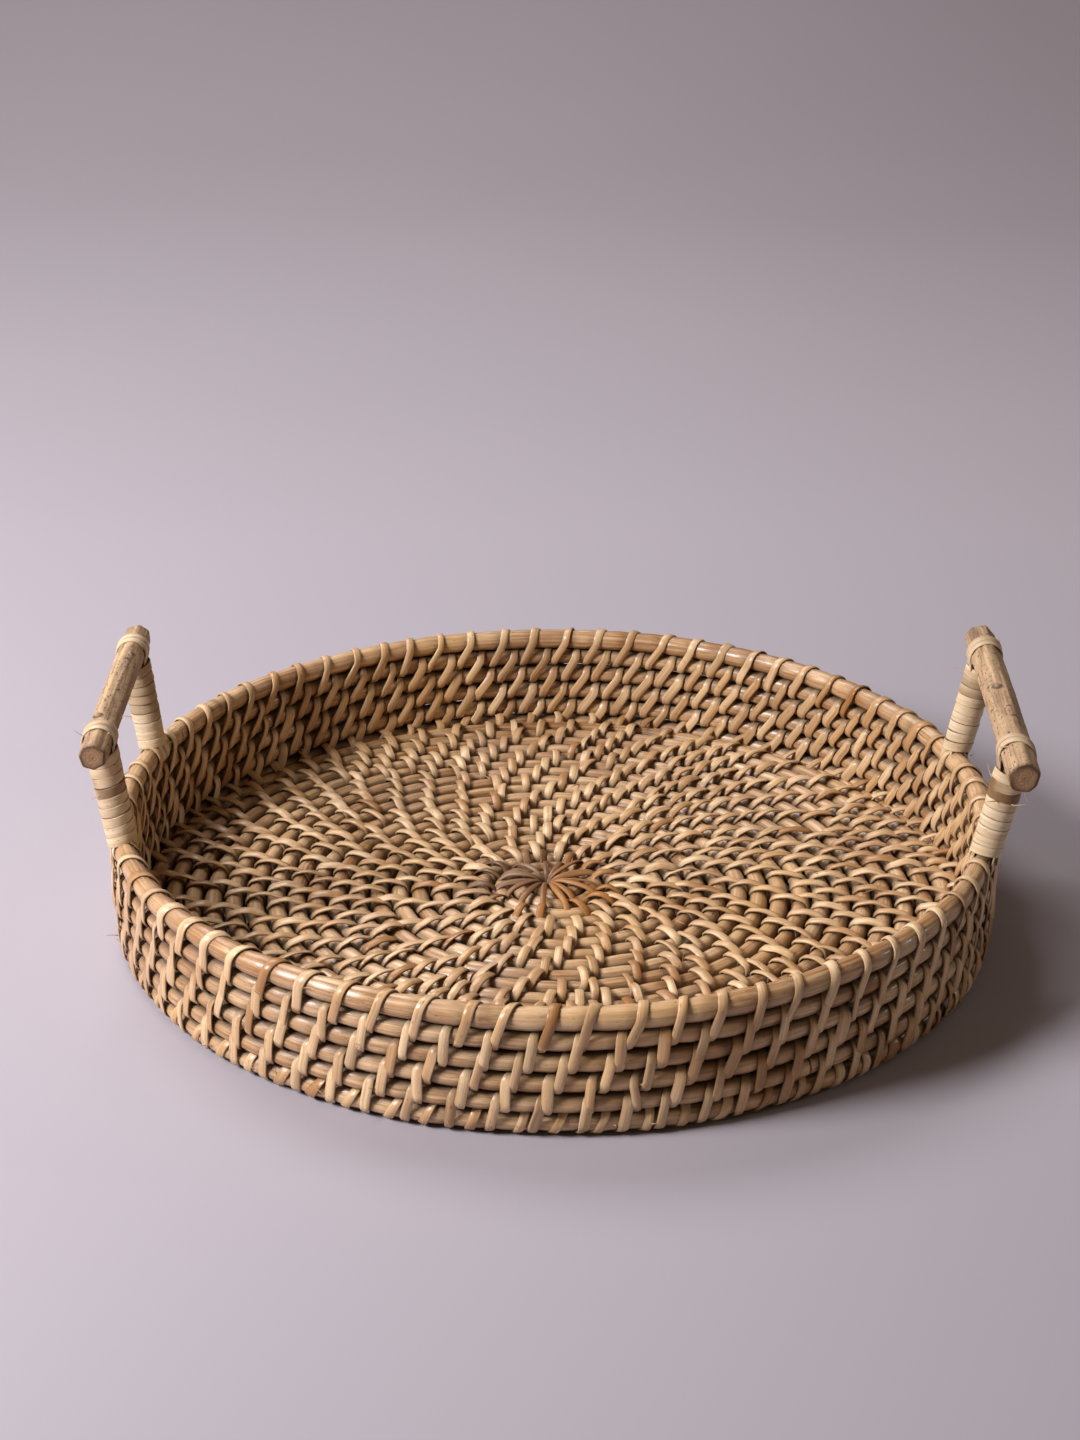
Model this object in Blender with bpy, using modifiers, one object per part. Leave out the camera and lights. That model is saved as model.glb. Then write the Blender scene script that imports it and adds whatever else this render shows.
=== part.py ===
"""A round tray coiled from cane rods, with two lashed handles.

The floor is one flat spiral, spliced from four lengths of rod. The wall is a stack of rods bent to
rings, and the thickest rod is the rim. Flat strips of split cane stitch each rod to its neighbour.
Each handle is a bar on two posts. A post is a short stick, a strap looped over the bar and under
the rim rod, and a wrapping that binds the two together.

Units are metres, +Z is up, and the origin is the centre of the base on the table's surface.
"""

import math
from typing import NamedTuple

import bpy
from mathutils import Matrix, Vector


class Handle(NamedTuple):
    """Where a handle is: which side of X = 0, and its bar's radius. The bar's two ends are
    (distance from X = 0, Y), and its posts are given by their Y."""

    sign: int
    bar_radius: float
    front_end: tuple
    back_end: tuple
    post_ys: tuple


# Rods and courses
WALL_RADIUS = 0.1955  # centre line of the wall rods
ROD_RADIUS = 0.0042
RIM_ROD_RADIUS = 0.0046
COIL_PITCH = 0.0095  # centre to centre of neighbouring floor rods
WALL_PITCH = 0.0092  # centre to centre of neighbouring wall rods
RIM_PITCH = 0.0106  # last wall rod to rim rod, with room for the handle straps
WALL_RODS = 4
FIRST_JOINT = math.radians(23)  # where the base rod's two ends meet
JOINT_STEP = math.radians(100)  # from each rod's joint to that of the rod above
RIM_JOINT = math.radians(126)
GAP = 0.0003  # clearance between neighbouring solids
JOINT_GAP = 0.0018  # between the two ends of a rod bent to a ring, and at a splice

# Stitching layers
STITCH_THICKNESS = 0.0007
GROOVE_STRIP_RADIUS = 0.0008

# Floor spiral: turns are counted from the centre, one pitch each
FIRST_TURN = 0.55
SPLICE_TURNS = (9.75, 13.875, 16.625)  # multiples of one step, so that neighbouring turns stay parallel
POINTS_PER_TURN = 24
TAPER_END_RADIUS = 0.0008
STAR_RADIUS = 0.024
STAR_NOTCH_RADIUS = 0.008  # where neighbouring arms of the star meet
STAR_ARMS = 14

# Handles
BAR_HEIGHT = 0.105
BAR_SIDES = 12
BAR_CHAMFER = 0.0008
BAR_END_ANGLE = math.radians(60)  # only the edges round the ends turn more sharply than this
STICK_RADIUS = 0.0035
STRAP_THICKNESS = 0.0007
STRAP_PLAY = 0.0006  # between a strap and the rim rod, because the post leans
STRAP_WIDTH = 0.006
STRAP_CLEARANCE = 0.0012  # from a strap's edge to the end of the rim's stitching
STRAP_RIM_ANGLES = (-90, -60, -30, 0, 28)  # degrees, from below the rim rod round to where it leaves it
STRAP_BAR_ANGLES = (-32, 0, 30, 60, 90)  # degrees, from where it meets the bar round to its top
WRAP_RADIUS = 0.00615  # to the middle of the wrapping's thickness
WRAP_THICKNESS = 0.0007
WRAP_STRIP_WIDTH = 0.0062
WRAP_TURN_PITCH = 0.0068
WRAP_POINTS_PER_TURN = 12
WRAP_START = 0.0095  # along the post from the rim rod's centre
WRAP_END = 0.0350
HANDLES = {
    "left": Handle(-1, 0.0063, (0.1970, -0.070), (0.1970, 0.068), (-0.050, 0.049)),
    "right": Handle(1, 0.0071, (0.1965, -0.086), (0.2015, 0.071), (-0.061, 0.049)),
}

# Derived heights and radii
FLOOR_RADIUS = WALL_RADIUS - COIL_PITCH
BASE_Z = STITCH_THICKNESS + GAP + ROD_RADIUS
RIM_Z = BASE_Z + WALL_RODS * WALL_PITCH + RIM_PITCH
CIRCLE_TURN = FLOOR_RADIUS / COIL_PITCH  # where the spiral becomes a full circle
RING_POINTS = 48
POST_ENDS = ("front", "back")

# Colours: red, green, blue, and roughness
ROD_CANE = ((0.52, 0.36, 0.20), 0.50)
STITCH_CANE = ((0.60, 0.43, 0.25), 0.42)
BINDING_CANE = ((0.66, 0.52, 0.34), 0.48)
STAR_CANE = ((0.28, 0.16, 0.08), 0.55)
BAR_WOOD = ((0.50, 0.37, 0.22), 0.62)


def clear_scene():
    for obj in list(bpy.data.objects):
        bpy.data.objects.remove(obj, do_unlink=True)


def new_collection(name):
    collection = bpy.data.collections.new(name)
    bpy.context.scene.collection.children.link(collection)
    return collection


def material_named(name, look):
    """The Principled material of that name, made on first use."""
    found = bpy.data.materials.get(name)
    if found:
        return found
    colour, roughness = look
    made = bpy.data.materials.new(name)
    made.use_nodes = True
    shader = made.node_tree.nodes["Principled BSDF"]
    shader.inputs["Base Color"].default_value = (*colour, 1)
    shader.inputs["Roughness"].default_value = roughness
    shader.inputs["Metallic"].default_value = 0
    return made


def link(name, data, collection, material_name, look, matrix=None):
    """Puts data in the scene as one named object with that material."""
    obj = bpy.data.objects.new(name, data)
    obj.data.materials.append(material_named(material_name, look))
    if matrix is not None:
        obj.matrix_world = matrix
    collection.objects.link(obj)
    return obj


def rod_curve(name, points, radius, bevel_resolution=1, tapers=None):
    """A round rod with filled ends along points; tapers scales its radius point by point."""
    curve = bpy.data.curves.new(name, "CURVE")
    curve.dimensions = "3D"
    curve.twist_mode = "Z_UP"
    curve.bevel_depth = radius
    curve.bevel_resolution = bevel_resolution
    curve.use_fill_caps = True
    spline = curve.splines.new("POLY")
    spline.points.add(len(points) - 1)
    for index, point in enumerate(points):
        spline.points[index].co = (*point, 1)
        if tapers:
            spline.points[index].radius = tapers[index]
    return curve


def arc_points(radius, z, start, end, steps):
    """Points on a level arc from angle start to angle end, both included."""
    angles = [start + (end - start) * i / steps for i in range(steps + 1)]
    return [Vector((radius * math.cos(a), radius * math.sin(a), z)) for a in angles]


def ring_rod(name, radius, z, rod_radius, joint_angle, bevel_resolution=1):
    """A rod bent to a level ring whose two ends meet at joint_angle."""
    half_gap = JOINT_GAP / 2 / radius
    points = arc_points(radius, z, joint_angle + half_gap, joint_angle + math.tau - half_gap, RING_POINTS)
    return rod_curve(name, points, rod_radius, bevel_resolution)


def spiral_point(turn):
    """(point, rod radius) of the floor spiral. Its last turn is a circle that tapers to a thin end,
    because the turn before it moves outwards by one pitch."""
    if turn <= CIRCLE_TURN:
        radius, rod_radius = turn * COIL_PITCH, ROD_RADIUS
    else:
        rod_radius = max(ROD_RADIUS * (1 - (turn - CIRCLE_TURN)), TAPER_END_RADIUS)
        radius = FLOOR_RADIUS + ROD_RADIUS - rod_radius
    angle = turn * math.tau
    return Vector((radius * math.cos(angle), radius * math.sin(angle), BASE_Z)), rod_radius


def build_floor(collection):
    """The spiral's four lengths of rod, from the centre outwards."""
    taper_share = 1 - TAPER_END_RADIUS / ROD_RADIUS
    ends = (FIRST_TURN, *SPLICE_TURNS, CIRCLE_TURN + taper_share)
    for index, (first, last) in enumerate(zip(ends, ends[1:])):
        first += JOINT_GAP / (math.tau * first * COIL_PITCH)
        inner_steps = range(math.ceil(first * POINTS_PER_TURN), math.ceil(last * POINTS_PER_TURN))
        turns = [first] + [step / POINTS_PER_TURN for step in inner_steps] + [last]
        found = [spiral_point(turn) for turn in turns]
        points = [point for point, _ in found]
        tapers = [radius / ROD_RADIUS for _, radius in found]
        name = f"floor_rod_{index + 1}"
        link(name, rod_curve(name, points, ROD_RADIUS, 1, tapers), collection, "rod_cane", ROD_CANE)


def build_wall(collection):
    """The base rod, the wall rods above it, and the rim rod, each with its joint in another place."""
    for index in range(WALL_RODS + 1):
        name = f"wall_rod_{index}" if index else "base_rod"
        z = BASE_Z + index * WALL_PITCH
        rod = ring_rod(name, WALL_RADIUS, z, ROD_RADIUS, FIRST_JOINT + index * JOINT_STEP)
        link(name, rod, collection, "rod_cane", ROD_CANE)
    rim = ring_rod("rim_rod", WALL_RADIUS, RIM_Z, RIM_ROD_RADIUS, RIM_JOINT)
    link("rim_rod", rim, collection, "rod_cane", ROD_CANE)


def flat_outline(name, loops, thickness):
    """A flat plate of that thickness. Its outline is the first loop, and further loops are holes."""
    curve = bpy.data.curves.new(name, "CURVE")
    curve.dimensions = "2D"
    curve.fill_mode = "BOTH"
    curve.extrude = thickness / 2
    for loop in loops:
        spline = curve.splines.new("POLY")
        spline.use_cyclic_u = True
        spline.points.add(len(loop) - 1)
        for index, (x, y) in enumerate(loop):
            spline.points[index].co = (x, y, 0, 1)
    return curve


def circle_outline(radius, count):
    angles = [math.tau * i / count for i in range(count)]
    return [(radius * math.cos(a), radius * math.sin(a)) for a in angles]


def build_underside_stitching(collection):
    """The stitches' runs under the rods: one thin flat ring for each floor rod and for the base rod.
    The tray rests on these."""
    inner_limits = [GAP + STAR_RADIUS] + [turn * COIL_PITCH for turn in SPLICE_TURNS]
    inner_limits.append(FLOOR_RADIUS + COIL_PITCH / 2)
    outer_limits = [limit - 2 * GAP for limit in inner_limits[1:]] + [WALL_RADIUS + ROD_RADIUS]
    names = [f"floor_stitching_{i + 1}" for i in range(len(SPLICE_TURNS) + 1)] + ["base_stitching"]
    lift = Matrix.Translation((0, 0, STITCH_THICKNESS / 2))
    for name, inner, outer in zip(names, inner_limits, outer_limits):
        loops = [circle_outline(outer, RING_POINTS), circle_outline(inner, RING_POINTS)]
        plate = flat_outline(name, loops, STITCH_THICKNESS)
        link(name, plate, collection, "stitch_cane", STITCH_CANE, lift)


def build_centre_star(collection):
    """The dark strips that bind the start of the spiral, spread as a star on top of it."""
    z = BASE_Z + ROD_RADIUS + GAP + STITCH_THICKNESS / 2
    outline = []
    for index in range(2 * STAR_ARMS):
        radius = STAR_RADIUS if index % 2 else STAR_NOTCH_RADIUS
        angle = math.pi * index / STAR_ARMS
        outline.append((radius * math.cos(angle), radius * math.sin(angle)))
    star = flat_outline("centre_star", [outline], STITCH_THICKNESS)
    link("centre_star", star, collection, "star_cane", STAR_CANE, Matrix.Translation((0, 0, z)))


def groove_offset(lower_radius, upper_radius, pitch):
    """How far outside the rods' centre line a strip lies in the groove between two stacked rods."""
    half = pitch / 2
    reach = max(lower_radius, upper_radius) + GROOVE_STRIP_RADIUS + GAP
    return math.sqrt(reach**2 - half**2)


def build_wall_stitching(collection):
    """One strip in the outer groove above the base rod and above each wall rod but the last."""
    radius = WALL_RADIUS + groove_offset(ROD_RADIUS, ROD_RADIUS, WALL_PITCH)
    for index in range(1, WALL_RODS + 1):
        z = BASE_Z + (index - 0.5) * WALL_PITCH
        name = f"wall_stitching_{index}"
        joint = FIRST_JOINT - index * JOINT_STEP
        strip = ring_rod(name, radius, z, GROOVE_STRIP_RADIUS, joint, bevel_resolution=0)
        link(name, strip, collection, "stitch_cane", STITCH_CANE)


def post_angles():
    """Each post's name and its angle round the rim."""
    found = {}
    for side, handle in HANDLES.items():
        for end, y in zip(POST_ENDS, handle.post_ys):
            x = handle.sign * math.sqrt(WALL_RADIUS**2 - y**2)
            found[f"{side}_{end}"] = math.atan2(y, x)
    return found


def build_rim_stitching(collection):
    """The strip that lashes the rim rod down, in four runs between the handle posts."""
    angles = post_angles()
    radius = WALL_RADIUS + groove_offset(ROD_RADIUS, RIM_ROD_RADIUS, RIM_PITCH)
    z = RIM_Z - RIM_PITCH / 2
    margin = (STRAP_WIDTH / 2 + STRAP_CLEARANCE) / radius
    runs = (
        ("rim_stitching_front", angles["left_front"], angles["right_front"]),
        ("rim_stitching_right", angles["right_front"], angles["right_back"]),
        ("rim_stitching_back", angles["right_back"], angles["left_back"]),
        ("rim_stitching_left", angles["left_back"], angles["left_front"] + math.tau),
    )
    for name, start, end in runs:
        start += margin
        end -= margin
        steps = math.ceil((end - start) / math.tau * RING_POINTS)
        points = arc_points(radius, z, start, end, steps)
        strip = rod_curve(name, points, GROOVE_STRIP_RADIUS, bevel_resolution=0)
        link(name, strip, collection, "stitch_cane", STITCH_CANE)


def bar_ends(handle):
    """The centres of the bar's front and back ends."""
    return [Vector((handle.sign * x, y, BAR_HEIGHT)) for x, y in (handle.front_end, handle.back_end)]


def post_frame(handle, y):
    """(matrix, length) of a post: its origin is the rim rod's centre, and its +Z runs to the bar's
    centre. Its +Y lies nearly along the bar."""
    front, back = bar_ends(handle)
    foot = Vector((handle.sign * math.sqrt(WALL_RADIUS**2 - y**2), y, RIM_Z))
    top = front.lerp(back, (y - front.y) / (back.y - front.y))
    up = (top - foot).normalized()
    across = (back - front).cross(up).normalized()
    rotation = Matrix((across, up.cross(across), up)).transposed().to_4x4()
    return Matrix.Translation(foot) @ rotation, (top - foot).length


def build_bar(name, handle, collection):
    """The grip: a straight pole with chamfered ends."""
    front, back = bar_ends(handle)
    length = (back - front).length
    bpy.ops.mesh.primitive_cylinder_add(vertices=BAR_SIDES, radius=handle.bar_radius, depth=length)
    bar = bpy.context.active_object
    bar.name = name
    bar.data.name = name
    bar.location = front.lerp(back, 0.5)
    bar.rotation_mode = "QUATERNION"
    bar.rotation_quaternion = (back - front).to_track_quat("Z", "Y")
    bar.data.materials.append(material_named("bar_wood", BAR_WOOD))
    for user in list(bar.users_collection):
        user.objects.unlink(bar)
    collection.objects.link(bar)
    chamfer = bar.modifiers.new("chamfer", "BEVEL")
    chamfer.width = BAR_CHAMFER
    chamfer.segments = 1
    chamfer.limit_method = "ANGLE"
    chamfer.angle_limit = BAR_END_ANGLE


def strap_outline(length, bar_radius, rim_slant, offset):
    """Half widths and heights, as (x, z) points, of a loop round the rim rod and the bar that is
    pulled in against the stick between them. rim_slant is how far the curved rim rod strays
    sideways within the loop. offset moves the outline outwards from the rods' clearance."""
    rim_reach = RIM_ROD_RADIUS + STRAP_PLAY + offset
    rim_side = rim_reach + rim_slant
    bar_reach = bar_radius + GAP + offset
    waist = STICK_RADIUS + GAP + offset
    lower = [math.radians(a) for a in STRAP_RIM_ANGLES]
    upper = [math.radians(a) for a in STRAP_BAR_ANGLES]
    right = [(rim_side * math.cos(a), rim_reach * math.sin(a)) for a in lower]
    right += [(waist, WRAP_START), (waist, length - bar_radius - STICK_RADIUS)]
    right += [(bar_reach * math.cos(a), length + bar_reach * math.sin(a)) for a in upper]
    left = [(-x, z) for x, z in right[-2:0:-1]]
    return right + left


def build_post(prefix, handle, y, collection):
    """A post's stick, strap and wrapping, each built upright and then set on the rim by its frame."""
    frame, length = post_frame(handle, y)
    bar_radius = handle.bar_radius

    stick_start = RIM_ROD_RADIUS + STRAP_THICKNESS + 3 * GAP
    stick_end = length - bar_radius - 2 * GAP
    ends = [Vector((0, 0, stick_start)), Vector((0, 0, stick_end))]
    stick = rod_curve(f"{prefix}_stick", ends, STICK_RADIUS, bevel_resolution=2)
    stick.twist_mode = "MINIMUM"
    link(f"{prefix}_stick", stick, collection, "rod_cane", ROD_CANE, frame)

    rim_sagitta = WALL_RADIUS * (1 - math.cos(math.pi / RING_POINTS))
    slant = GAP + rim_sagitta + STRAP_WIDTH / 2 * math.tan(math.asin(abs(y) / WALL_RADIUS))
    loops = [strap_outline(length, bar_radius, slant, offset) for offset in (STRAP_THICKNESS, 0)]
    strap = flat_outline(f"{prefix}_strap", loops, STRAP_WIDTH)
    upright = Matrix.Rotation(math.radians(90), 4, "X")
    link(f"{prefix}_strap", strap, collection, "binding_cane", BINDING_CANE, frame @ upright)

    ribbon = wrap_curve(f"{prefix}_wrap")
    wrap = link(f"{prefix}_wrap", ribbon, collection, "binding_cane", BINDING_CANE, frame)
    thicken = wrap.modifiers.new("thicken", "SOLIDIFY")
    thicken.thickness = WRAP_THICKNESS
    thicken.offset = 0


def wrap_curve(name):
    """A flat ribbon wound up a post as a helix; it has no thickness yet."""
    rise = WRAP_END - WRAP_START
    turns = rise / WRAP_TURN_PITCH
    steps = math.ceil(turns * WRAP_POINTS_PER_TURN)
    points = []
    for index in range(steps + 1):
        angle = turns * math.tau * index / steps
        height = WRAP_START + WRAP_STRIP_WIDTH / 2 + rise * index / steps
        points.append(Vector((WRAP_RADIUS * math.cos(angle), WRAP_RADIUS * math.sin(angle), height)))
    curve = rod_curve(name, points, 0)
    curve.extrude = WRAP_STRIP_WIDTH / 2
    return curve


def main():
    clear_scene()
    tray = new_collection("cane_tray")
    build_floor(tray)
    build_wall(tray)
    build_underside_stitching(tray)
    build_centre_star(tray)
    build_wall_stitching(tray)
    build_rim_stitching(tray)
    for side, handle in HANDLES.items():
        build_bar(f"{side}_handle_bar", handle, tray)
        for end, y in zip(POST_ENDS, handle.post_ys):
            build_post(f"{side}_{end}_post", handle, y, tray)


main()
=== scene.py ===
import math
from typing import NamedTuple

import bpy
import numpy as np
from mathutils import Matrix, Vector


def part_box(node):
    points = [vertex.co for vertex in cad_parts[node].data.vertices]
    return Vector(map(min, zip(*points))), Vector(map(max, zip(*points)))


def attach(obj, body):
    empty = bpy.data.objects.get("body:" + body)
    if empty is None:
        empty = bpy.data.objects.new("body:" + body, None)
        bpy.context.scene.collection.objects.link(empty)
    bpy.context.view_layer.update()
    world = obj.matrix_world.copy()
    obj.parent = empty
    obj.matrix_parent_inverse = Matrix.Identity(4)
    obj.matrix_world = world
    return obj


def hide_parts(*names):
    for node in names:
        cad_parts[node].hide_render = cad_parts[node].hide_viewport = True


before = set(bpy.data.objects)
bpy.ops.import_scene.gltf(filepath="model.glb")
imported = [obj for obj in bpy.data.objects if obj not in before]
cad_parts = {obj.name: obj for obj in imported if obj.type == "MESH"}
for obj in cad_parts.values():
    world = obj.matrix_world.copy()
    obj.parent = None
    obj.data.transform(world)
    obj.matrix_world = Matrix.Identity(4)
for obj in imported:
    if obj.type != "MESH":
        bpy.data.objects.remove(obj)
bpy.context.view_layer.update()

MM = 0.001

# ---------------------------------------------------------------- sizes

HEXAGON = math.cos(math.radians(30))  # the CAD rods are six-sided, with a flat side down
COIL_PITCH = 9.5 * MM  # between neighbouring turns of the floor
UNDER_ROOM = 0.6 * MM  # the floor is this much above the CAD's, for the strips that run below it
WALL_STITCHES = 73  # in each of the wall's courses
STRIP_THICKNESS = 0.95 * MM
STAR_RADIUS = 27 * MM  # where the floor's stitches begin
WALL_ROD_SWELL = 1.09  # the wall's rods are thicker than the CAD's, so that they touch
BASE_INSET = 0.8 * MM  # how far the base rod is inside the rods above it
ROD_SIDES = 14
ROD_STEP = 2.6 * MM
UP = np.array([0.0, 0.0, 1.0])
GRAIN_LENGTH = 50  # metres of cane, from which each rod and strip gets its own grain


def middle(node):
    low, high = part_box(node)
    return (low + high) / 2


def extent(node):
    low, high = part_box(node)
    return high - low


def add_object(name, data):
    made = bpy.data.objects.new(name, data)
    bpy.context.scene.collection.objects.link(made)
    return made


def add_mesh(name, points, faces, material):
    mesh = bpy.data.meshes.new(name)
    mesh.from_pydata(points, [], faces)
    mesh.shade_smooth()
    mesh.materials.append(material)
    return add_object(name, mesh)


def rod_radius(node):
    return extent(node).z / 2 / HEXAGON


FLOOR_ROD = rod_radius("floor_rod_1")
FLOOR_Z = middle("floor_rod_1").z + UNDER_ROOM
WALL_RADIUS = extent("base_rod").y / 2 - rod_radius("base_rod")
FLOOR_RADIUS = WALL_RADIUS - COIL_PITCH
LAST_TURN = FLOOR_RADIUS / COIL_PITCH
FLOOR_GROUPS = [f"floor_stitching_{i}" for i in range(1, 5)]
WALL_STACK = ["base_rod"] + [f"wall_rod_{i}" for i in range(1, 5)] + ["rim_rod"]
RIM_Z = middle("rim_rod").z
RIM_ROD = rod_radius("rim_rod")


# ---------------------------------------------------------------- random and smooth variation


def random_for(name):
    """A random generator that depends only on the piece's name."""
    return np.random.default_rng(sum(ord(letter) * (place + 1) for place, letter in enumerate(name)))


class Wander:
    """A smooth random function of an angle that closes after a full turn."""

    def __init__(self, random, amount, cycles):
        self.cycles = np.array(cycles, float)
        self.phases = random.uniform(0, math.tau, len(cycles))
        self.sizes = amount * random.normal(0, 1, len(cycles)) / math.sqrt(len(cycles))

    def __call__(self, angle):
        waves = np.sin(np.multiply.outer(np.asarray(angle), self.cycles) + self.phases)
        return waves @ self.sizes


# ---------------------------------------------------------------- rods' paths


OUT_OF_ROUND = Wander(random_for("out of round"), 0.7 * MM, (2, 3, 4))
ROD_SWAY = 0.35 * MM  # how far a rod wanders sideways
ROD_LIFT = 0.2 * MM  # how far it wanders up and down
LEVEL_LIFT = 0.1 * MM  # the same for a rod that lies on the table
ROD_SWELL = 0.02  # how much its thickness varies


class Lane:
    """A rod's path round the tray: its distance out, height and thickness at any angle."""

    def __init__(self, name, radius, height, rod, lift=ROD_LIFT):
        random = random_for(name)
        self.sway = Wander(random, ROD_SWAY, (3, 5, 8, 13, 21))
        self.lift = Wander(random, lift, (4, 7, 11, 17))
        self.swell = Wander(random, ROD_SWELL, (5, 9, 16, 31))
        self.base_radius = radius
        self.base_height = height
        self.rod = rod

    def radius(self, angle):
        return self.base_radius + OUT_OF_ROUND(angle) + self.sway(angle)

    def height(self, angle):
        return self.base_height + self.lift(angle)

    def thickness(self, angle):
        return self.rod * (1 + self.swell(angle))


class SpiralLane(Lane):
    """The floor's rod. Beyond the last full turn it runs as a circle and tapers away. Its wanders are
    slower than its angle, so that they differ from turn to turn."""

    FLOOR_LIFT = 0.12 * MM
    SWAY_PACE, LIFT_PACE, SWELL_PACE = 0.37, 0.61, 0.53
    TAIL_SHIFT = 0.9  # how far out the tail ends, as a share of the rod's radius
    TAIL_TAPER = 0.85

    def __init__(self, turns_back=0):
        super().__init__("floor spiral", 0, FLOOR_Z, FLOOR_ROD, self.FLOOR_LIFT)
        self.turns_back = turns_back

    def own(self, angle):
        return np.asarray(angle) - self.turns_back * math.tau

    def tail(self, angle):
        """How far into the tapered tail an angle is, from 0 to 1."""
        return np.clip(self.own(angle) / math.tau - LAST_TURN, 0, 1)

    def radius(self, angle):
        plain = np.minimum(self.own(angle) / math.tau, LAST_TURN) * COIL_PITCH
        edge = np.clip(plain / FLOOR_RADIUS, 0, 1) ** 3
        own_sway = self.sway(self.own(angle) * self.SWAY_PACE)
        return plain + edge * OUT_OF_ROUND(angle) + own_sway + self.tail(angle) * self.rod * self.TAIL_SHIFT

    def height(self, angle):
        return self.base_height + self.lift(self.own(angle) * self.LIFT_PACE)

    def thickness(self, angle):
        swollen = self.rod * (1 + self.swell(self.own(angle) * self.SWELL_PACE))
        return swollen * (1 - self.TAIL_TAPER * self.tail(angle))


def wall_lanes():
    """The wall's rods from the base to the rim, evenly spaced and pressed together until they touch."""
    lanes = []
    for node, height in zip(WALL_STACK, np.linspace(FLOOR_Z, RIM_Z, len(WALL_STACK))):
        inset, lift = (BASE_INSET, LEVEL_LIFT) if node == "base_rod" else (0, ROD_LIFT)
        lanes.append(Lane(node, WALL_RADIUS - inset, height, rod_radius(node) * WALL_ROD_SWELL, lift))
    return lanes


# ---------------------------------------------------------------- sweeping


class Weave:
    """Collects swept rods and strips, and makes one mesh of them.

    grain holds, for each vertex, its place in the cane: along it and across it, in metres.
    tone holds how light it is, how deep in a gap or shade it is, which darkens it as painted shade
    with some dirt, and how much it is stained, from 0 to 1.
    """

    def __init__(self):
        self.points, self.faces, self.grain, self.tone = [], [], [], []
        self.count = 0

    def sweep(self, centres, side, up, outline, grain, tone):
        """Sweeps an outline of (side, up) places, one loop for each centre, and closes both ends."""
        sections, corners = outline.shape[:2]
        rings = centres[:, None] + outline[..., :1] * side[:, None] + outline[..., 1:] * up[:, None]
        ends = rings[[0, -1]].mean(1)
        self.points.append(np.concatenate([rings.reshape(-1, 3), ends]))
        self.grain.append(np.concatenate([grain.reshape(-1, 3), grain[[0, -1]].mean(1)]))
        self.tone.append(np.concatenate([tone.reshape(-1, 3), tone[[0, -1]].mean(1)]))
        first = self.count
        low = first + np.arange(sections - 1)[:, None] * corners + np.arange(corners)
        ahead = first + np.arange(sections - 1)[:, None] * corners + (np.arange(corners) + 1) % corners
        quads = np.stack([low, ahead, ahead + corners, low + corners], -1).reshape(-1, 4)
        self.faces += quads.tolist()
        last = first + (sections - 1) * corners
        for corner in range(corners):
            after = (corner + 1) % corners
            self.faces.append([first + after, first + corner, first + sections * corners])
            self.faces.append([last + corner, last + after, first + sections * corners + 1])
        self.count += sections * corners + 2

    def make(self, name, slot, nodes, sharp_angle=50):
        """Makes the piece, in a material slot's material, in place of some CAD nodes."""
        piece = add_mesh(name, np.concatenate(self.points), self.faces, MATERIALS[slot])
        for title, values in (("grain", self.grain), ("tone", self.tone)):
            attribute = piece.data.attributes.new(title, "FLOAT_VECTOR", "POINT")
            attribute.data.foreach_set("vector", np.concatenate(values).astype(np.float32).ravel())
        piece.data.set_sharp_from_angle(angle=math.radians(sharp_angle))
        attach(piece, "root")
        if nodes:
            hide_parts(*nodes)


def unit(vectors):
    return vectors / np.linalg.norm(vectors, axis=-1, keepdims=True)


def lengths_along(points):
    steps = np.linalg.norm(np.diff(points, axis=0), axis=1)
    return np.concatenate([[0], np.cumsum(steps)])


def outward(angle):
    """The level direction away from the tray's centre at each angle."""
    return np.stack([np.cos(angle), np.sin(angle), np.zeros_like(angle)], -1)


def lane_points(lane, angle):
    return lane.radius(angle)[:, None] * outward(angle) + lane.height(angle)[:, None] * UP


def even_angles(count):
    """That many angles, evenly spaced from 0."""
    return np.arange(count) / count * math.tau


def round_outline(radii, around):
    """(side, up) places at those distances and angles round a section."""
    return np.stack([radii * np.cos(around), radii * np.sin(around)], -1)


def grain_of(along, outline):
    """Each vertex's place in the cane: its section's place along it, and its own place in the section."""
    return np.concatenate([np.broadcast_to(along[:, None, None], outline.shape[:2] + (1,)), outline], -1)


def tones(light, depth, stained):
    """One array of tone from its three parts, which are numbers or arrays."""
    return np.stack(np.broadcast_arrays(light, depth, stained), -1)


def hump(apart, reach):
    """1 where apart is 0, falling smoothly to nothing beyond reach."""
    return np.exp(-((apart / reach) ** 2))


def closeness(angle, places, radius, reach):
    """How near each angle is to any of the places, from 0 to 1, for a rod at that distance out."""
    places = np.sort(places)
    after = np.clip(np.searchsorted(places, angle), 1, len(places) - 1)
    apart = np.minimum(np.abs(angle - places[after - 1]), np.abs(angle - places[after]))
    return hump(apart * radius, reach)


JOINT_SPACINGS = (150 * MM, 260 * MM)  # between the cane's own joints, at least and at most
JOINT_REACH = 1.8 * MM
JOINT_SWELL = 0.04
PINCH = 0.12  # how much thinner a rod is under a strip, as a share of its radius
PINCH_REACH = 3.3 * MM
# How dark a rod is made where strips pinch it: painted shade, with some dirt.
PINCH_DIRT_AND_SHADE = 0.55


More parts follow.
